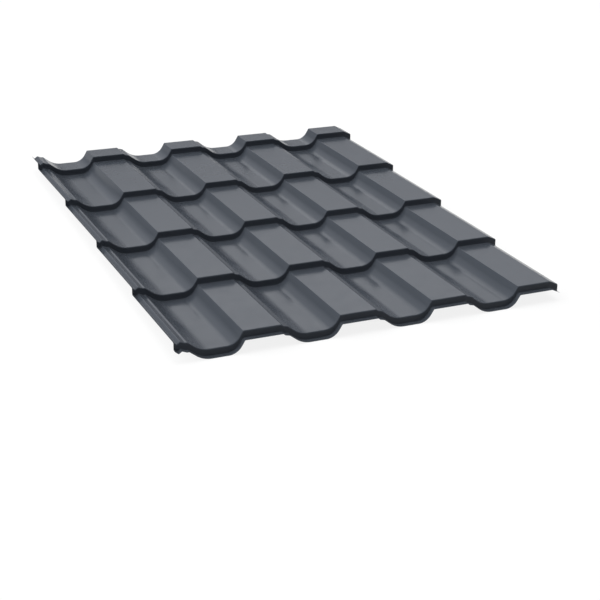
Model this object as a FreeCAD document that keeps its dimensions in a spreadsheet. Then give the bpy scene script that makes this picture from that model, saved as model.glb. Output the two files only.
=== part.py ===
"""Tile effect metal roofing sheet: one steel sheet pressed into tiles across and rows up the slope.

Frame: X across the sheet, Y up the roof slope (front, eaves end at -Y), Z up.
The origin is under the middle of the sheet, on the level surface that it lies on.

The pressing is a wave across the sheet, carried along by a stair up the slope. So its weather
face is the stair's line, moved without turning along the wave's line. A block is made under that
face, and a second block, one thickness lower, is cut away from it, which leaves the sheet.
"""
import FreeCAD, Part
import Sketcher
import math
import os

NODE = "tile_sheet"

# Driving dimensions, in millimetres and degrees. Lines are measured to the corners where they
# would meet, and each corner of the wave is then rounded by its bend.
SIZES = {
    # the steel, and the inside radius of a plain bend
    "sheet_thickness": 0.5,
    "bend_radius": 2,
    # the stair: long flats that fall towards the back, and a riser at the front of each, whose
    # foot stands a little forward of its top so that sheets nest in a stack
    "row_length": 330,
    "riser_height": 20,
    "riser_draft": 2,
    "front_lip": 14,
    "back_stub": 77,
    # the wave: from each tile's flat crest over a small joggle and a shelf, down an easy flank
    # into the valley, and up a steep flank to the next crest
    "tile_pitch": 275,
    "crest_width": 106,
    "joggle_run": 5.5,
    "joggle_drop": 4.6,
    "shelf_width": 13,
    "shelf_drop": 3.1,
    "valley_depth": 36.5,
    "easy_flank_angle": 37,
    "easy_flank_radius": 70,
    "steep_flank_angle": 61,
    "steep_flank_radius": 40,
    # the left side, which lies under the next sheet: a flat, a rib, a groove and a raised edge
    "lap_flat": 6,
    "lap_rib_run": 13.2,
    "lap_rib_height": 5.4,
    "lap_groove_run": 8.7,
    "lap_groove_depth": 6.4,
    "lap_edge_run": 9.3,
    "lap_edge_height": 7.2,
    # the right side, a plain slope that lies over the next sheet
    "cover_run": 26.5,
    "cover_drop": 12.5,
    # how far the block that is cut away runs past the sheet's ends and sides
    "cut_overrun": 5,
}
ROWS = 4
TILES = 4


def size(word):
    """A driving dimension, as expressions name it."""
    return f"sizes.{word}"


THICK = size("sheet_thickness")
BEND = size("bend_radius")
OVERRUN = size("cut_overrun")

# The slope of the rows' flats, and the wave's runs that follow from its other sizes
SLOPE = f"({size('riser_height')} / ({size('row_length')} - {size('riser_draft')}))"
LEDGE_RUN = f"({size('joggle_run')} + {size('shelf_width')})"
LEDGE_DROP = f"({size('joggle_drop')} + {size('shelf_drop')})"
EASY_DROP = f"({size('valley_depth')} - {LEDGE_DROP})"
EASY_RUN = f"({EASY_DROP} / tan({size('easy_flank_angle')} * 1 deg))"
STEEP_RUN = f"({size('valley_depth')} / tan({size('steep_flank_angle')} * 1 deg))"
FLOOR_RUN = f"({size('tile_pitch')} - {size('crest_width')} - {LEDGE_RUN} - {EASY_RUN} - {STEEP_RUN})"

# A valley's two hollows share its floor. Where it grows too short for them, both get tighter by
# one share, which leaves a plain bend's radius flat between them.
HOLLOWS_SET = (f"({size('easy_flank_radius')} * tan({size('easy_flank_angle')} * 0.5 deg)"
               f" + {size('steep_flank_radius')} * tan({size('steep_flank_angle')} * 0.5 deg))")
HOLLOWS_SHARE = f"min(1; ({FLOOR_RUN} - {BEND}) / {HOLLOWS_SET})"
EASY_RADIUS = f"({size('easy_flank_radius')} * {HOLLOWS_SHARE})"
STEEP_RADIUS = f"({size('steep_flank_radius')} * {HOLLOWS_SHARE})"

# Whole sizes that place the sheet about the origin
LAP_RUN = " + ".join(size(word) for word in ("lap_edge_run", "lap_groove_run", "lap_rib_run", "lap_flat"))
WIDTH = f"({LAP_RUN} + {TILES} * {size('tile_pitch')} - {LEDGE_RUN} + {size('cover_run')})"
FRONT_END = f"({size('front_lip')} + {size('riser_draft')})"
BACK_END = f"({ROWS} * {size('row_length')} + {size('back_stub')})"
EDGE_BELOW_CREST = (f"({LEDGE_DROP} - {size('lap_rib_height')} + {size('lap_groove_depth')}"
                    f" - {size('lap_edge_height')})")
DEPTH_BELOW_CREST = f"({size('valley_depth')} + {size('riser_height')} + {THICK} * (1 + {SLOPE}))"

# The underside's line starts past the raised edge, one thickness below its slope
EDGE_SLOPE = f"({size('lap_edge_height')} / {size('lap_edge_run')})"
UNDERSIDE_START = f"({OVERRUN} * {EDGE_SLOPE} - {THICK} * sqrt(1 + {EDGE_SLOPE} ^ 2))"

# How far the two blocks reach below the stair's line, with the cut one deeper
BLOCK_DEPTH = f"(2 * {size('riser_height')})"
CUT_DEPTH = f"(3 * {size('riser_height')})"


def wave_steps():
    """The weather face's line across the sheet, from the raised edge to the cover's free edge.

    Each step is a run, a rise and the inside radius of the bend at its end."""
    steps = [
        (size("lap_edge_run"), f"-{size('lap_edge_height')}", BEND),
        (size("lap_groove_run"), size("lap_groove_depth"), BEND),
        (size("lap_rib_run"), f"-{size('lap_rib_height')}", BEND),
        (size("lap_flat"), "0", BEND),
    ]
    for tile in range(TILES):
        steps += [
            (EASY_RUN, f"-{EASY_DROP}", EASY_RADIUS),
            (FLOOR_RUN, "0", STEEP_RADIUS),
            (STEEP_RUN, size("valley_depth"), BEND),
            (size("crest_width"), "0", BEND),
        ]
        if tile < TILES - 1:
            steps += [
                (size("joggle_run"), f"-{size('joggle_drop')}", BEND),
                (size("shelf_width"), f"-{size('shelf_drop')}", BEND),
            ]
    return steps + [(size("cover_run"), f"-{size('cover_drop')}", None)]


def stair_steps(overrun="0"):
    """The weather face's line up the slope, from the front lip to the back end: runs and rises."""
    lip = f"({size('front_lip')} + {overrun})"
    stub = f"({size('back_stub')} + {overrun})"
    riser = (size("riser_draft"), size("riser_height"))
    flat = (f"({size('row_length')} - {size('riser_draft')})", f"-{size('riser_height')}")
    return [(lip, f"-{lip} * {SLOPE}"), riser] + ROWS * [flat, riser] + [(stub, f"-{stub} * {SLOPE}")]


def make_sketch(body, name, role):
    """An empty sketch on one of the body's own origin planes."""
    sketch = body.newObject("Sketcher::SketchObject", name)
    plane = next(feature for feature in body.Origin.OriginFeatures if feature.Role == role)
    sketch.AttachmentSupport = [(plane, "")]
    sketch.MapMode = "FlatFace"
    return sketch


def constrain(sketch, wanted):
    """Add constraints, each with the expression that sets its amount, or None."""
    numbers = sketch.addConstraint([constraint for constraint, _ in wanted])
    for index, (_, expression) in zip(numbers, wanted):
        if expression:
            sketch.setExpression(f"Constraints[{index}]", expression)


def apart(sketch, kind, first, second, expression):
    """How far the second point is from the first along an axis, either way."""
    amount = float(sketch.evalExpression(expression))
    if amount < 0:
        first, second, expression, amount = second, first, f"-({expression})", -amount
    return Sketcher.Constraint(kind, *first, *second, amount), expression


def corner_points(sketch, steps, start):
    """The corners that the steps lead to, from a start."""
    points = [start]
    for step in steps:
        run, rise = (float(sketch.evalExpression(expression)) for expression in step[:2])
        points.append(points[-1] + FreeCAD.Vector(run, rise, 0))
    return points


def lowered_points(points, distance):
    """The corners of a line that runs a distance below this one."""
    ways = [(after - before).normalize() for before, after in zip(points, points[1:])]
    lowered = []
    for point, incoming, outgoing in zip(points, ways[:1] + ways, ways + ways[-1:]):
        both = incoming + outgoing
        scale = distance / (1 + incoming.dot(outgoing))
        lowered.append(point + FreeCAD.Vector(both.y, -both.x, 0) * scale)
    return lowered


def draw_wave(sketch, points, inside_radii, underside):
    """Draw straight runs joined by bends, and return the runs.

    A bend's inside is on the weather face where the line turns left, and underneath where it
    turns right."""
    runs, wanted = [], []
    here = points[0]
    for before, corner, after, inside in zip(points, points[1:], points[2:], inside_radii):
        incoming = (corner - before).normalize()
        outgoing = (after - corner).normalize()
        turns_left = incoming.cross(outgoing).z > 0
        expression = inside if turns_left != underside else f"{inside} + {THICK}"
        radius = float(sketch.evalExpression(expression))
        half_turn = incoming.getAngle(outgoing) / 2
        setback = radius * math.tan(half_turn)
        arc_start = corner - incoming * setback
        arc_end = corner + outgoing * setback
        centre = corner + (outgoing - incoming).normalize() * (radius / math.cos(half_turn))
        circle = Part.Circle(centre, FreeCAD.Vector(0, 0, 1), radius)
        ends = (arc_start, arc_end) if turns_left else (arc_end, arc_start)
        run = sketch.addGeometry(Part.LineSegment(here, arc_start))
        bend = sketch.addGeometry(Part.ArcOfCircle(circle, *(circle.parameter(end) for end in ends)))
        entry, leave = (1, 2) if turns_left else (2, 1)
        wanted += [
            (Sketcher.Constraint("Tangent", run, 2, bend, entry), None),
            (Sketcher.Constraint("Tangent", bend, leave, bend + 1, 1), None),
            (Sketcher.Constraint("Radius", bend, radius), expression),
        ]
        runs.append(run)
        here = arc_end
    runs.append(sketch.addGeometry(Part.LineSegment(here, points[-1])))
    constrain(sketch, wanted)
    return runs


def size_wave(sketch, runs, points, steps):
    """Hold the weather face's line by the corners where its runs would meet."""
    corners, wanted = [(runs[0], 1)], [(Sketcher.Constraint("Coincident", runs[0], 1, -1, 1), None)]
    for point, before, after in zip(points[1:], runs, runs[1:]):
        corner = sketch.addGeometry(Part.Point(point), True)
        corners.append((corner, 1))
        wanted += [(Sketcher.Constraint("PointOnObject", corner, 1, run), None) for run in (before, after)]
    corners.append((runs[-1], 2))
    for run, first, second, (across, up, _) in zip(runs, corners, corners[1:], steps):
        wanted.append(apart(sketch, "DistanceX", first, second, across))
        if up == "0":
            wanted.append((Sketcher.Constraint("Horizontal", run), None))
        else:
            wanted.append(apart(sketch, "DistanceY", first, second, up))
    constrain(sketch, wanted)


def size_underside(sketch, runs, weather):
    """Hold the underside's line one thickness below the weather face's, whose runs it refers to."""
    thickness = float(sketch.evalExpression(THICK))
    wanted = [
        apart(sketch, "DistanceX", (-1, 1), (runs[0], 1), f"-{OVERRUN}"),
        apart(sketch, "DistanceY", (-1, 1), (runs[0], 1), UNDERSIDE_START),
        apart(sketch, "DistanceX", (-1, 1), (runs[-1], 2), f"{WIDTH} + {OVERRUN}"),
    ]
    for place, run in enumerate(runs):
        # runs and bends take turns along the weather face's line, and a sketch numbers what it
        # refers to in another one -3, -4 and so on
        sketch.addExternal(weather.Name, f"Edge{2 * place + 1}")
        above = -3 - place
        wanted.append((Sketcher.Constraint("Parallel", run, above), None))
        if place:
            wanted.append((Sketcher.Constraint("Distance", run, 1, above, thickness), THICK))
    constrain(sketch, wanted)


def draw_stair(sketch, steps, nose, depth):
    """Draw a block's section: the stair's line on top, and a level base under it.

    The nose, the top of the front riser, is held at a place from the sketch's origin."""
    nose_at = [float(sketch.evalExpression(expression)) for expression in nose]
    to_nose = corner_points(sketch, steps[:2], FreeCAD.Vector(0, 0, 0))[-1]
    points = corner_points(sketch, steps, FreeCAD.Vector(*nose_at, 0) - to_nose)
    base = -float(sketch.evalExpression(depth))
    outline = points + [FreeCAD.Vector(points[-1].x, base, 0), FreeCAD.Vector(points[0].x, base, 0)]
    lines = [sketch.addGeometry(Part.LineSegment(*ends)) for ends in zip(outline, outline[1:] + outline[:1])]
    wanted = [(Sketcher.Constraint("Coincident", line, 2, after, 1), None)
              for line, after in zip(lines, lines[1:] + lines[:1])]
    for line, (run, rise) in zip(lines, steps):
        wanted.append(apart(sketch, "DistanceX", (line, 1), (line, 2), run))
        wanted.append(apart(sketch, "DistanceY", (line, 1), (line, 2), rise))
    back, bottom, front = lines[-3:]
    wanted += [
        (Sketcher.Constraint("Vertical", back), None),
        (Sketcher.Constraint("Horizontal", bottom), None),
        (Sketcher.Constraint("Vertical", front), None),
        apart(sketch, "DistanceY", (-1, 1), (bottom, 1), f"-{depth}"),
    ]
    riser = lines[1]
    for kind, expression in zip(("DistanceX", "DistanceY"), nose):
        wanted.append(apart(sketch, kind, (-1, 1), (riser, 2), expression))
    constrain(sketch, wanted)


def sweep(body, kind, name, section, line):
    """Carry a section along a line without turning it."""
    feature = body.newObject(kind, name)
    feature.Profile = section
    feature.Spine = (line, [""])
    feature.Mode = "Fixed"
    feature.Transition = "Transformed"
    body.Tip = feature
    return feature


doc = FreeCAD.newDocument("tile_effect_sheet")

sheet = doc.addObject("Spreadsheet::Sheet", "sizes")
for row, (word, amount) in enumerate(SIZES.items(), start=1):
    sheet.set(f"A{row}", word)
    sheet.set(f"B{row}", str(amount))
    sheet.setAlias(f"B{row}", word)
doc.recompute()

body = doc.addObject("PartDesign::Body", "pressed_sheet")
body.Label = NODE

# The wave's two lines, across the sheet, one thickness apart
steps = wave_steps()
radii = [inside for _, _, inside in steps[:-1]]
weather_line = make_sketch(body, "weather_line", "XZ_Plane")
weather_points = corner_points(weather_line, steps, FreeCAD.Vector(0, 0, 0))
weather_runs = draw_wave(weather_line, weather_points, radii, underside=False)
size_wave(weather_line, weather_runs, weather_points, steps)
doc.recompute()
underside_line = make_sketch(body, "underside_line", "XZ_Plane")
underside_points = lowered_points(weather_points, float(underside_line.evalExpression(THICK)))
underside_runs = draw_wave(underside_line, underside_points, radii, underside=True)
size_underside(underside_line, underside_runs, weather_line)

# The stair's two sections, up the slope, each at the start of its own wave line
weather_stair = make_sketch(body, "weather_stair", "YZ_Plane")
draw_stair(weather_stair, stair_steps(), ("0", "0"), BLOCK_DEPTH)
underside_stair = make_sketch(body, "underside_stair", "YZ_Plane")
draw_stair(underside_stair, stair_steps(OVERRUN), (THICK, f"-{THICK} * {SLOPE}"), CUT_DEPTH)
underside_stair.setExpression("AttachmentOffset.Base.y", UNDERSIDE_START)
underside_stair.setExpression("AttachmentOffset.Base.z", f"-{OVERRUN}")
doc.recompute()

sweep(body, "PartDesign::AdditivePipe", "block_under_weather_face", weather_stair, weather_line)
doc.recompute()
sweep(body, "PartDesign::SubtractivePipe", "cut_below_underside", underside_stair, underside_line)

body.setExpression("Placement.Base.x", f"-{WIDTH} / 2")
body.setExpression("Placement.Base.y", f"({FRONT_END} - {BACK_END}) / 2")
body.setExpression("Placement.Base.z", f"{DEPTH_BELOW_CREST} - {EDGE_BELOW_CREST}")
doc.recompute()

for item in doc.Objects:
    if "Invalid" in item.State or "Error" in item.State:
        raise RuntimeError(f"{item.Name} did not compute: {item.State}")
shape = body.Shape
if shape.isNull() or not shape.isValid() or len(shape.Solids) != 1:
    raise RuntimeError("the sheet is not one valid solid")

os.makedirs("parts", exist_ok=True)
shape.exportStep(f"parts/{NODE}.step")
box = shape.BoundBox
print(NODE, "box", box.XMin, box.XMax, box.YMin, box.YMax, box.ZMin, box.ZMax)
print("volume", shape.Volume, "area", shape.Area, "faces", len(shape.Faces))
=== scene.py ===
"""Looks for a tile effect metal roofing sheet: one sheet of coated steel pressed into tiles.

Every length is in metres. X runs across the sheet, Y up the roof slope and Z up.
"""

import math

import bpy
from mathutils import Matrix, Vector


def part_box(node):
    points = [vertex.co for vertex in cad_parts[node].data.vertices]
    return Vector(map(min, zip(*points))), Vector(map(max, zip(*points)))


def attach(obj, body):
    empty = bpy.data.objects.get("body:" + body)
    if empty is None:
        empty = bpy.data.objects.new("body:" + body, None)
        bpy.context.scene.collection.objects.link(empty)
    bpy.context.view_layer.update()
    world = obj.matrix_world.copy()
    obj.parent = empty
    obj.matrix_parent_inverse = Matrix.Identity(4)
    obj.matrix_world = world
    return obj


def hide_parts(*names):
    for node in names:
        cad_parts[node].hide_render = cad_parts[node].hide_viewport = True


bl_info = {
    "name": "Tile effect roofing sheet",
    "version": (1, 0, 0),
    "blender": (4, 5, 0),
    "location": "View3D > Sidebar > Roofing",
    "description": "Presses a sheet of coated steel into tiles and sets it on a studio floor",
    "category": "Object",
}

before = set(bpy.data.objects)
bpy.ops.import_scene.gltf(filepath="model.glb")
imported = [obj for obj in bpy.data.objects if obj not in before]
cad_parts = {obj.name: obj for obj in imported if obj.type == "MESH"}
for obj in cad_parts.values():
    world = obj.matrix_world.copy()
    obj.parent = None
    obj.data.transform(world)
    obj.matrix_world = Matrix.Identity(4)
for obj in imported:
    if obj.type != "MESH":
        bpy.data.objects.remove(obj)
SHEET_NODE = "tile_sheet"
CAD_LOW, CAD_HIGH = (Vector(corner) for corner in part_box(SHEET_NODE))
BEND_NAME = "bend_radius"

# a bend is drawn with this many facets, and with this many more for each metre of its radius
LEAST_FACETS = 4
FACETS_PER_METRE = 260
SHARP_ANGLE = math.radians(50)

FLOOR_REACH = 30
# how much of the floor's whiteness its shadows leave alone, and how much soft light it gives back
FLOOR_GLOW = 0.85
FLOOR_BOUNCE = 0.25
# the heights, as sines of the elevation, between which the mirrored walls go from dim to full
DIM_BELOW, FULL_ABOVE = 0.22, 0.36

CAMERA_PLACE = (-1.5796, -3.4796, 1.6385)
CAMERA_AZIMUTH, CAMERA_ELEVATION, CAMERA_ROLL = (math.radians(angle) for angle in (-25.819, 26.107, 3.254))


def linear(hex_colour):
    """A written sRGB colour as linear RGB."""
    channels = (int(hex_colour[place:place + 2], 16) / 255 for place in (1, 3, 5))
    return tuple(c / 12.92 if c <= 0.04045 else ((c + 0.055) / 1.055) ** 2.4 for c in channels)


def length(name, description, default):
    return bpy.props.FloatProperty(
        name=name, description=description, default=default, unit="LENGTH", precision=4)


def colour(name, description, default):
    return bpy.props.FloatVectorProperty(
        name=name, description=description, default=linear(default), subtype="COLOR", min=0, max=1)


class SheetSizes(bpy.types.PropertyGroup):
    """The wave across the sheet and the stair up the slope, measured to sharp corners."""
    tiles: bpy.props.IntProperty(name="Tiles", description="Waves across the sheet", default=4, min=1)
    rows: bpy.props.IntProperty(name="Rows", description="Full rows up the slope", default=4, min=1)
    thickness: length("Thickness", "Steel with its coatings", 0.0005)
    bend: length("Plain bend", "Inside radius of a plain bend", 0.002)
    pitch: length("Tile pitch", "From one tile to the next", 0.275)
    crest: length("Crest", "Flat top of a tile", 0.106)
    joggle_run: length("Joggle run", "Small step beside the crest, across", 0.0055)
    joggle_drop: length("Joggle drop", "Small step beside the crest, down", 0.0046)
    shelf_run: length("Shelf run", "Narrow strip beyond the joggle, across", 0.013)
    shelf_drop: length("Shelf drop", "Narrow strip beyond the joggle, down", 0.0031)
    valley_depth: length("Valley depth", "From the crest to the valley floor", 0.0365)
    easy_angle: bpy.props.FloatProperty(
        name="Easy flank", description="Fall of the flank into the valley", default=math.radians(37),
        subtype="ANGLE")
    easy_radius: length("Easy flank radius", "Hollow at the foot of the easy flank", 0.07)
    steep_angle: bpy.props.FloatProperty(
        name="Steep flank", description="Rise of the flank out of the valley", default=math.radians(61),
        subtype="ANGLE")
    steep_radius: length("Steep flank radius", "Hollow at the foot of the steep flank", 0.04)
    lap_flat: length("Underlap flat", "Flat beside the first valley", 0.006)
    rib_run: length("Rib run", "Underlap rib, across", 0.0132)
    rib_height: length("Rib height", "Underlap rib, up", 0.0054)
    groove_run: length("Groove run", "Underlap groove, across", 0.0087)
    groove_depth: length("Groove depth", "Underlap groove, down", 0.0064)
    edge_run: length("Raised edge run", "Raised edge of the underlap, across", 0.0093)
    edge_height: length("Raised edge height", "Raised edge of the underlap, up", 0.0072)
    cover_run: length("Cover run", "Plain slope past the last crest, across", 0.0265)
    cover_drop: length("Cover drop", "Plain slope past the last crest, down", 0.0125)
    row_length: length("Row length", "From one riser to the next", 0.33)
    riser: length("Riser", "Height of a riser", 0.02)
    draft: length("Riser draft", "How far a riser's foot stands in front of its top", 0.002)
    riser_bend: length("Riser bend", "Inside radius where a riser meets the flats", 0.003)
    lip: length("Front lip", "Short flat in front of the first riser", 0.014)
    stub: length("Back end", "Short flat behind the last riser", 0.077)


class CoatingLooks(bpy.types.PropertyGroup):
    """Colours and gloss of the coated steel."""
    face: colour("Weather coat", "Graphite polyester on the weather face", "#42474e")
    face_roughness: bpy.props.FloatProperty(
        name="Weather coat roughness", description="Satin polyester", default=0.24, min=0, max=1,
        subtype="FACTOR")
    back: colour("Backing coat", "Thin grey epoxy underneath", "#b9bbb8")
    edge: colour("Cut edge", "Zinc and steel of the sheared edges", "#b4b8ba")


class StudioLooks(bpy.types.PropertyGroup):
    """The floor, the lamps and the camera."""
    floor: colour("Floor", "Plain pale floor", "#ffffff")
    room: colour("Room", "Pale walls of the room, a little cool", "#f6f8ff")
    room_strength: bpy.props.FloatProperty(
        name="Room light", description="Soft light from all sides", default=0.2)
    skirting: bpy.props.FloatProperty(
        name="Skirting", description="How light the mirrored walls are near the floor", default=0.34)
    top_strength: bpy.props.FloatProperty(
        name="Top light", description="Soft light from overhead", default=1.5)
    side_strength: bpy.props.FloatProperty(
        name="Side light", description="Soft light from the left", default=2.9)
    back_strength: bpy.props.FloatProperty(
        name="Back light", description="Faint wide light that the sheet's flats mirror", default=0.26)
    lens: bpy.props.FloatProperty(
        name="Lens", description="Focal length in mm on a frame 36 mm wide", default=80.81)


def add(tree, kind, settings=None, links=None, values=None):
    """Add a node with its settings, the values of its inputs and the links into them."""
    node = tree.nodes.new(kind)
    for name, setting in (settings or {}).items():
        setattr(node, name, setting)
    for place, value in (values or {}).items():
        node.inputs[place].default_value = value
    for place, source in (links or {}).items():
        tree.links.new(source, node.inputs[place])
    return node


def new_tree(name, inputs, outputs):
    """A Geometry Nodes tree with named sockets, and its first and last nodes."""
    tree = bpy.data.node_groups.new(name, "GeometryNodeTree")
    for direction, sockets in (("INPUT", inputs), ("OUTPUT", outputs)):
        for socket_name, kind in sockets:
            tree.interface.new_socket(socket_name, in_out=direction, socket_type="NodeSocket" + kind)
    return tree, tree.nodes.new("NodeGroupInput"), tree.nodes.new("NodeGroupOutput")


def maths(tree, operation, first, second=None):
    """One sum, whose terms are sockets or plain numbers."""
    node = tree.nodes.new("ShaderNodeMath")
    node.operation = operation
    for place, term in enumerate((first, second)):
        if isinstance(term, bpy.types.NodeSocket):
            tree.links.new(term, node.inputs[place])
        elif term is not None:
            node.inputs[place].default_value = term
    return node.outputs[0]


def repeated_line_tree():
    """Corners, of which a run is repeated at a pitch, joined into one line with its bends.

    The lead corners come once, then the run comes so many times, then the rest."""
    tree, start, end = new_tree(
        "repeated line",
        [("Corners", "Geometry"), ("Lead", "Int"), ("Run", "Int"), ("Times", "Int"), ("Pitch", "Vector")],
        [("Line", "Geometry")])
    corners, lead, run, times, pitch = (start.outputs[place] for place in range(5))
    size = add(tree, "GeometryNodeAttributeDomainSize", {"component": "MESH"}, {"Geometry": corners})
    extra = maths(tree, "MULTIPLY", maths(tree, "SUBTRACT", times, 1), run)
    points = add(tree, "GeometryNodePoints",
                 links={"Count": maths(tree, "ADD", size.outputs["Point Count"], extra)})
    index = add(tree, "GeometryNodeInputIndex").outputs[0]
    past = maths(tree, "MAXIMUM", maths(tree, "SUBTRACT", index, lead), 0)
    last = maths(tree, "SUBTRACT", maths(tree, "MULTIPLY", run, times), 1)
    turn = maths(tree, "FLOOR", maths(tree, "DIVIDE", maths(tree, "MINIMUM", past, last), run))
    source = maths(tree, "SUBTRACT", index, maths(tree, "MULTIPLY", turn, run))
    here = add(tree, "GeometryNodeInputPosition").outputs[0]
    place = add(tree, "GeometryNodeSampleIndex", {"data_type": "FLOAT_VECTOR", "domain": "POINT"},
                {"Geometry": corners, "Value": here, "Index": source})
    bend = add(tree, "GeometryNodeInputNamedAttribute", {"data_type": "FLOAT"}, values={"Name": BEND_NAME})
    radius = add(tree, "GeometryNodeSampleIndex", {"data_type": "FLOAT", "domain": "POINT"},
                 {"Geometry": corners, "Value": bend.outputs["Attribute"], "Index": source})
    shift = add(tree, "ShaderNodeVectorMath", {"operation": "SCALE"}, {"Vector": pitch, "Scale": turn})
    moved = add(tree, "ShaderNodeVectorMath", {"operation": "ADD"},
                {0: place.outputs[0], 1: shift.outputs[0]})
    placed = add(tree, "GeometryNodeSetPosition",
                 links={"Geometry": points.outputs[0], "Position": moved.outputs[0]})
    stored = add(tree, "GeometryNodeStoreNamedAttribute", {"data_type": "FLOAT", "domain": "POINT"},
                 {"Geometry": placed.outputs[0], "Value": radius.outputs[0]}, {"Name": BEND_NAME})
    line = add(tree, "GeometryNodePointsToCurves", links={"Points": stored.outputs[0]})
    kept = add(tree, "GeometryNodeInputNamedAttribute", {"data_type": "FLOAT"}, values={"Name": BEND_NAME})
    facets = maths(tree, "ADD", maths(tree, "MULTIPLY", kept.outputs["Attribute"], FACETS_PER_METRE),
                   LEAST_FACETS)
    bent = add(tree, "GeometryNodeFilletCurve", {"mode": "POLY"},
               {"Curve": line.outputs[0], "Radius": kept.outputs["Attribute"], "Count": facets},
               {"Limit Radius": True})
    tree.links.new(bent.outputs[0], end.inputs["Line"])
    return tree


def pressing_tree(repeated_line):
    """A wave carried up a stair: every point of one line added to every point of the other."""
    tree, start, end = new_tree(
        "pressed sheet",
        [("Wave corners", "Geometry"), ("Stair corners", "Object"), ("First tile's corners", "Int"),
         ("Corners per tile", "Int"), ("Further tiles", "Int"), ("Tile pitch", "Vector"), ("Risers", "Int"),
         ("Row pitch", "Vector"), ("Coating", "Material")],
        [("Sheet", "Geometry")])
    stair_mesh = add(tree, "GeometryNodeObjectInfo", links={"Object": start.outputs["Stair corners"]})
    lines = []
    for corners, lead, run, times, pitch in (
            (start.outputs["Wave corners"], start.outputs["First tile's corners"],
             start.outputs["Corners per tile"], start.outputs["Further tiles"], start.outputs["Tile pitch"]),
            (stair_mesh.outputs["Geometry"], 1, 2, start.outputs["Risers"], start.outputs["Row pitch"])):
        line = add(tree, "GeometryNodeGroup", {"node_tree": repeated_line},
                   {"Corners": corners, "Times": times, "Pitch": pitch})
        for name, amount in (("Lead", lead), ("Run", run)):
            if isinstance(amount, int):
                line.inputs[name].default_value = amount
            else:
                tree.links.new(amount, line.inputs[name])
        lines.append(line.outputs[0])
    wave, stair = lines
    across, along = (
        add(tree, "GeometryNodeAttributeDomainSize", {"component": "CURVE"},
            {"Geometry": line}).outputs["Point Count"]
        for line in lines)
    grid = add(tree, "GeometryNodeMeshGrid", links={"Vertices X": across, "Vertices Y": along})
    index = add(tree, "GeometryNodeInputIndex").outputs[0]
    column = maths(tree, "FLOOR", maths(tree, "DIVIDE", maths(tree, "ADD", index, 0.5), along))
    step = maths(tree, "SUBTRACT", index, maths(tree, "MULTIPLY", column, along))
    here = add(tree, "GeometryNodeInputPosition").outputs[0]
    from_wave, from_stair = (
        add(tree, "GeometryNodeSampleIndex", {"data_type": "FLOAT_VECTOR", "domain": "POINT"},
            {"Geometry": line, "Value": here, "Index": place}).outputs[0]
        for line, place in ((wave, column), (stair, step)))
    total = add(tree, "ShaderNodeVectorMath", {"operation": "ADD"}, {0: from_wave, 1: from_stair})
    pressed = add(tree, "GeometryNodeSetPosition",
                  links={"Geometry": grid.outputs["Mesh"], "Position": total.outputs[0]})
    smooth = add(tree, "GeometryNodeSetShadeSmooth", links={"Geometry": pressed.outputs[0]})
    real = add(tree, "GeometryNodeRealizeInstances", links={"Geometry": smooth.outputs[0]})
    coated = add(tree, "GeometryNodeSetMaterial",
                 links={"Geometry": real.outputs[0], "Material": start.outputs["Coating"]})
    tree.links.new(coated.outputs[0], end.inputs["Sheet"])
    return tree


def corner_object(name, steps, start, axis):
    """Corners as a mesh, each with the weather face's radius there.

    Each step is a run along the axis, a rise, and the inside radius of the bend at its end. The
    inside of a bend is on the weather face where the line turns up, and underneath elsewhere."""
    thickness = bpy.context.scene.sheet_sizes.thickness
    points, radii = [Vector(start)], [0.0]
    for place, (run, rise, inside) in enumerate(steps):
        points.append(points[-1] + run * axis + rise * Vector((0, 0, 1)))
        if place == len(steps) - 1:
            radii.append(0.0)
            break
        next_run, next_rise, _ = steps[place + 1]
        turns_up = run * next_rise - rise * next_run > 0
        radii.append(inside if turns_up else inside + thickness)
    mesh = bpy.data.meshes.new(name)
    mesh.from_pydata(points, [], [])
    mesh.attributes.new(BEND_NAME, "FLOAT", "POINT").data.foreach_set("value", radii)
    piece = bpy.data.objects.new(name, mesh)
    bpy.context.collection.objects.link(piece)
    return piece


def plain_mesh(source, name):
    """The result of an object's modifiers as a new plain object, in place of the old one."""
    evaluated = source.evaluated_get(bpy.context.evaluated_depsgraph_get())
    mesh = bpy.data.meshes.new_from_object(evaluated)
    mesh.name = name
    bpy.data.objects.remove(source)
    piece = bpy.data.objects.new(name, mesh)
    bpy.context.collection.objects.link(piece)
    return piece


def new_material(name):
    """An empty node material, its tree and its output."""
    material = bpy.data.materials.new(name)
    material.use_nodes = True
    tree = material.node_tree
    tree.nodes.clear()
    return material, tree, tree.nodes.new("ShaderNodeOutputMaterial")


def object_noise(tree, coordinates, grain, detail):
    """A noise whose lumps are about one grain across, in metres."""
    noise = add(tree, "ShaderNodeTexNoise", links={"Vector": coordinates},
                values={"Scale": 1 / grain, "Detail": detail, "Roughness": 0.5})
    return noise.outputs["Fac"]


def mottled(tree, colour, amount, low, high):
    """A colour at low times its level where the amount is 0, and at high times its level where it is 1."""
    dark, pale = ([channel * level for channel in colour] + [1] for level in (low, high))
    return add(tree, "ShaderNodeMix", {"data_type": "RGBA"}, {0: amount}, {6: dark, 7: pale}).outputs[2]


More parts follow.
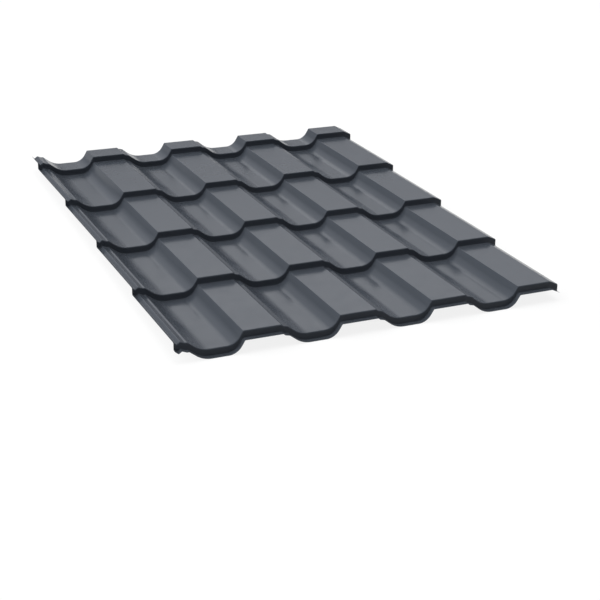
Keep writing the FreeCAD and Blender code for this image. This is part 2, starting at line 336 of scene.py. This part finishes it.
def polyester_coil_coating(looks):
    """Graphite polyester, roller coated on the coil and then pressed: even colour and a satin
    gloss, with a faint orange peel, and flats that the press has left very slightly wavy."""
    material, tree, output = new_material("polyester_coil_coating")
    spot = add(tree, "ShaderNodeTexCoord").outputs["Object"]
    tint = mottled(tree, looks.face, object_noise(tree, spot, grain=0.18, detail=3), 0.94, 1.06)
    uneven = 0.03
    gloss = add(tree, "ShaderNodeMapRange", links={"Value": object_noise(tree, spot, grain=0.03, detail=4)},
                values={"From Min": 0.3, "From Max": 0.7, "To Min": looks.face_roughness - uneven,
                        "To Max": looks.face_roughness + uneven})
    waviness = add(tree, "ShaderNodeBump", links={"Height": object_noise(tree, spot, grain=0.12, detail=1)},
                   values={"Strength": 1.0, "Distance": 0.0001})
    # real orange peel is about 1 mm across, drawn here at 4 mm so that it shows
    grains = object_noise(tree, spot, grain=0.004, detail=1)
    peel = add(tree, "ShaderNodeBump", links={"Height": grains, "Normal": waviness.outputs[0]},
               values={"Strength": 0.25, "Distance": 0.00001})
    shader = add(tree, "ShaderNodeBsdfPrincipled",
                 links={"Base Color": tint, "Roughness": gloss.outputs[0], "Normal": peel.outputs[0]},
                 values={"IOR": 1.5, "Specular Tint": (0.1, 0.1, 0.1, 1)})
    tree.links.new(shader.outputs[0], output.inputs["Surface"])
    return material


def epoxy_backing_coat(looks):
    """Thin grey epoxy under the sheet: flat, slightly uneven where the roller laid it thin."""
    material, tree, output = new_material("epoxy_backing_coat")
    spot = add(tree, "ShaderNodeTexCoord").outputs["Object"]
    streaks = add(tree, "ShaderNodeMapping", links={"Vector": spot}, values={"Scale": (1, 0.08, 1)})
    thin = object_noise(tree, streaks.outputs[0], grain=0.02, detail=3)
    shader = add(tree, "ShaderNodeBsdfPrincipled",
                 links={"Base Color": mottled(tree, looks.back, thin, 0.9, 1.05)},
                 values={"Roughness": 0.55, "IOR": 1.5})
    tree.links.new(shader.outputs[0], output.inputs["Surface"])
    return material


def sheared_galvanised_edge(looks):
    """Bare zinc and steel where the shears cut the coated coil: dull metal, finely torn."""
    material, tree, output = new_material("sheared_galvanised_edge")
    spot = add(tree, "ShaderNodeTexCoord").outputs["Object"]
    torn = object_noise(tree, spot, grain=0.002, detail=3)
    shader = add(tree, "ShaderNodeBsdfPrincipled",
                 links={"Base Color": mottled(tree, looks.edge, torn, 0.75, 1)},
                 values={"Roughness": 0.5, "Metallic": 1.0})
    tree.links.new(shader.outputs[0], output.inputs["Surface"])
    return material


def wave_steps(sizes):
    """The wave across the sheet, as underlap, first tile, ledge, next tile and cover, and its start."""
    easy_drop = sizes.valley_depth - sizes.joggle_drop - sizes.shelf_drop
    easy_run = easy_drop / math.tan(sizes.easy_angle)
    steep_run = sizes.valley_depth / math.tan(sizes.steep_angle)
    floor_run = sizes.pitch - sizes.crest - sizes.joggle_run - sizes.shelf_run - easy_run - steep_run
    # the edge is cut square to the steel, so its lower corner reaches out past its upper one
    tuck = sizes.thickness * sizes.edge_height / math.hypot(sizes.edge_run, sizes.edge_height)
    kept = 1 - tuck / sizes.edge_run
    underlap = [
        (sizes.edge_run * kept, -sizes.edge_height * kept, sizes.bend),
        (sizes.groove_run, sizes.groove_depth, sizes.bend),
        (sizes.rib_run, -sizes.rib_height, sizes.bend),
        (sizes.lap_flat, 0, sizes.bend),
    ]
    tile = [
        (easy_run, -easy_drop, sizes.easy_radius),
        (floor_run, 0, sizes.steep_radius),
        (steep_run, sizes.valley_depth, sizes.bend),
        (sizes.crest, 0, sizes.bend),
    ]
    ledge = [
        (sizes.joggle_run, -sizes.joggle_drop, sizes.bend),
        (sizes.shelf_run, -sizes.shelf_drop, sizes.bend),
    ]
    cover = [(sizes.cover_run, -sizes.cover_drop, 0)]
    below_crest = (sizes.joggle_drop + sizes.shelf_drop - sizes.rib_height + sizes.groove_depth
                   - sizes.edge_height * kept)
    return (underlap, tile, ledge, tile, cover), (CAD_LOW.x + tuck, 0, -below_crest)


def stair_steps(sizes):
    """The stair up the slope, as its lip, one riser and the back end, and its start."""
    slope = sizes.riser / (sizes.row_length - sizes.draft)
    steps = [
        (sizes.lip, -sizes.lip * slope, sizes.riser_bend),
        (sizes.draft, sizes.riser, sizes.riser_bend),
        (sizes.stub, -sizes.stub * slope, 0),
    ]
    return steps, (0, CAD_LOW.y, CAD_HIGH.z - sizes.riser + sizes.lip * slope)


class PressSheet(bpy.types.Operator):
    """Press the sheet: the wave's line carried up the stair's line, then given its thickness"""
    bl_idname = "roofing.press_sheet"
    bl_label = "Press the sheet"

    def execute(self, context):
        sizes, looks = context.scene.sheet_sizes, context.scene.coating_looks
        stretches, wave_start = wave_steps(sizes)
        underlap, tile, ledge = stretches[:3]
        blank = corner_object("wave_corners", sum(stretches, []), wave_start, Vector((1, 0, 0)))
        stair_corners = corner_object("stair_corners", *stair_steps(sizes), Vector((0, 1, 0)))

        press = blank.modifiers.new("Press", "NODES")
        press.node_group = pressing_tree(repeated_line_tree())
        settings = {
            "Stair corners": stair_corners,
            "First tile's corners": 1 + len(underlap) + len(tile),
            "Corners per tile": len(ledge) + len(tile),
            "Further tiles": sizes.tiles - 1,
            "Tile pitch": (sizes.pitch, 0, 0),
            "Risers": sizes.rows + 1,
            "Row pitch": (0, sizes.row_length, 0),
            "Coating": polyester_coil_coating(looks),
        }
        for socket in press.node_group.interface.items_tree:
            if socket.name in settings:
                press[socket.identifier] = settings[socket.name]
        face = plain_mesh(blank, "weather_face")
        bpy.data.objects.remove(stair_corners)

        face.data.materials.append(epoxy_backing_coat(looks))
        face.data.materials.append(sheared_galvanised_edge(looks))
        steel = face.modifiers.new("Steel", "SOLIDIFY")
        steel.thickness = sizes.thickness
        steel.offset = -1
        steel.use_even_offset = True
        steel.use_quality_normals = True
        steel.material_offset = 1
        steel.material_offset_rim = 2
        piece = plain_mesh(face, "pressed_sheet")
        piece.data.set_sharp_from_angle(angle=SHARP_ANGLE)
        flats = piece.modifiers.new("Even flats", "WEIGHTED_NORMAL")
        flats.keep_sharp = True

        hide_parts(SHEET_NODE)
        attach(piece, "root")
        return {"FINISHED"}


def seen_rays(tree):
    """1 for rays from the camera or a reflection, and 0 for those that carry soft light."""
    path = add(tree, "ShaderNodeLightPath")
    both = maths(tree, "MAXIMUM", path.outputs["Is Camera Ray"], path.outputs["Is Glossy Ray"])
    return maths(tree, "MAXIMUM", both, path.outputs["Is Transmission Ray"])


def studio_floor_material(looks):
    """Matt white board. What is seen of it stays white but for the sheet's soft shadow, and it
    gives little light back, so that the faces that turn away from the lamps stay dark."""
    material, tree, output = new_material("studio_floor_board")
    white = [*looks.floor, 1]
    matt = add(tree, "ShaderNodeBsdfDiffuse", values={"Color": white})
    plain = add(tree, "ShaderNodeEmission", values={"Color": white, "Strength": 1.0})
    shown = add(tree, "ShaderNodeMixShader", links={1: matt.outputs[0], 2: plain.outputs[0]},
                values={0: FLOOR_GLOW})
    dull = [*(level * FLOOR_BOUNCE for level in looks.floor), 1]
    dim = add(tree, "ShaderNodeBsdfDiffuse", values={"Color": dull})
    surface = add(tree, "ShaderNodeMixShader",
                  links={0: seen_rays(tree), 1: dim.outputs[0], 2: shown.outputs[0]})
    tree.links.new(surface.outputs[0], output.inputs["Surface"])
    return material


def look_matrix(azimuth, elevation, roll):
    """A camera's turn, looking down by the elevation. Azimuth 0 looks along +Y."""
    ahead = Vector((-math.sin(azimuth), math.cos(azimuth), 0))
    forward = math.cos(elevation) * ahead - math.sin(elevation) * Vector((0, 0, 1))
    level = Vector((math.cos(azimuth), math.sin(azimuth), 0))
    upright = level.cross(forward)
    right = math.cos(roll) * level + math.sin(roll) * upright
    up = math.cos(roll) * upright - math.sin(roll) * level
    return Matrix((right, up, -forward)).transposed().to_4x4()


def studio_room(looks):
    """Pale walls all round. They look white, and light the sheet softly. Mirrored in the sheet they
    are dimmer near the floor."""
    world = bpy.data.worlds.new("studio_room")
    world.use_nodes = True
    tree = world.node_tree
    tree.nodes.clear()
    room = [*looks.room, 1]
    direction = add(tree, "ShaderNodeTexCoord").outputs["Object"]
    height = add(tree, "ShaderNodeSeparateXYZ", links={0: direction}).outputs["Z"]
    lighter = add(tree, "ShaderNodeMapRange", {"interpolation_type": "SMOOTHSTEP"}, {"Value": height},
                  {"From Min": DIM_BELOW, "From Max": FULL_ABOVE, "To Min": looks.skirting, "To Max": 1.0})
    direct = add(tree, "ShaderNodeLightPath").outputs["Is Camera Ray"]
    level = maths(tree, "MAXIMUM", lighter.outputs[0], direct)
    shown = add(tree, "ShaderNodeBackground", links={"Strength": level}, values={"Color": room})
    soft = add(tree, "ShaderNodeBackground", values={"Color": room, "Strength": looks.room_strength})
    both = add(tree, "ShaderNodeMixShader",
               links={0: seen_rays(tree), 1: soft.outputs[0], 2: shown.outputs[0]})
    add(tree, "ShaderNodeOutputWorld", links={"Surface": both.outputs[0]})
    return world


class SetStudio(bpy.types.Operator):
    """Lay the floor, light the sheet softly from above and from the left, and set the camera"""
    bl_idname = "roofing.set_studio"
    bl_label = "Set the studio"

    def execute(self, context):
        looks = context.scene.studio_looks
        mesh = bpy.data.meshes.new("studio_floor")
        corners = [(x * FLOOR_REACH, y * FLOOR_REACH, 0) for x, y in ((-1, -1), (1, -1), (1, 1), (-1, 1))]
        mesh.from_pydata(corners, [], [(0, 1, 2, 3)])
        mesh.materials.append(studio_floor_material(looks))
        floor = bpy.data.objects.new("studio_floor", mesh)
        context.collection.objects.link(floor)
        context.scene.world = studio_room(looks)

        # each lamp's width in degrees, the way to it, and whether the sheet mirrors it
        for name, strength, spread, towards, mirrored in (
                ("top_light", looks.top_strength, 40, (0, 0, 1), False),
                ("side_light", looks.side_strength, 80, (-0.8, 0.4, 0.45), False),
                ("back_light", looks.back_strength, 40, (0.32, 0.73, 0.6), True)):
            lamp = bpy.data.lights.new(name, "SUN")
            lamp.energy = strength
            lamp.angle = math.radians(spread)
            light = bpy.data.objects.new(name, lamp)
            light.matrix_world = Vector(towards).to_track_quat("Z", "Y").to_matrix().to_4x4()
            light.visible_glossy = mirrored
            context.collection.objects.link(light)

        camera_data = bpy.data.cameras.new("camera")
        camera_data.sensor_width = 36
        camera_data.lens = looks.lens
        camera = bpy.data.objects.new("camera", camera_data)
        turn = look_matrix(CAMERA_AZIMUTH, CAMERA_ELEVATION, CAMERA_ROLL)
        camera.matrix_world = Matrix.Translation(CAMERA_PLACE) @ turn
        context.collection.objects.link(camera)
        context.scene.camera = camera
        context.scene.view_settings.view_transform = "Standard"
        return {"FINISHED"}


class RoofingPanel(bpy.types.Panel):
    """Sizes, colours and steps of the roofing sheet"""
    bl_idname = "VIEW3D_PT_roofing"
    bl_label = "Roofing sheet"
    bl_space_type = "VIEW_3D"
    bl_region_type = "UI"
    bl_category = "Roofing"

    def draw(self, context):
        operators = {"sheet_sizes": PressSheet, "studio_looks": SetStudio}
        for group in GROUPS:
            operator = operators.get(group)
            column = self.layout.column(align=True)
            settings = getattr(context.scene, group)
            for name in settings.bl_rna.properties.keys():
                if name not in {"rna_type", "name"}:
                    column.prop(settings, name)
            if operator:
                self.layout.operator(operator.bl_idname)


GROUPS = {"sheet_sizes": SheetSizes, "coating_looks": CoatingLooks, "studio_looks": StudioLooks}
CLASSES = (*GROUPS.values(), PressSheet, SetStudio, RoofingPanel)


def register():
    for cls in CLASSES:
        bpy.utils.register_class(cls)
    for name, group in GROUPS.items():
        setattr(bpy.types.Scene, name, bpy.props.PointerProperty(type=group))


def unregister():
    for name in GROUPS:
        delattr(bpy.types.Scene, name)
    for cls in reversed(CLASSES):
        bpy.utils.unregister_class(cls)


def main():
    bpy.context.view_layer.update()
    register()
    bpy.ops.roofing.set_studio()
    bpy.ops.roofing.press_sheet()


if __name__ == "__main__":
    main()
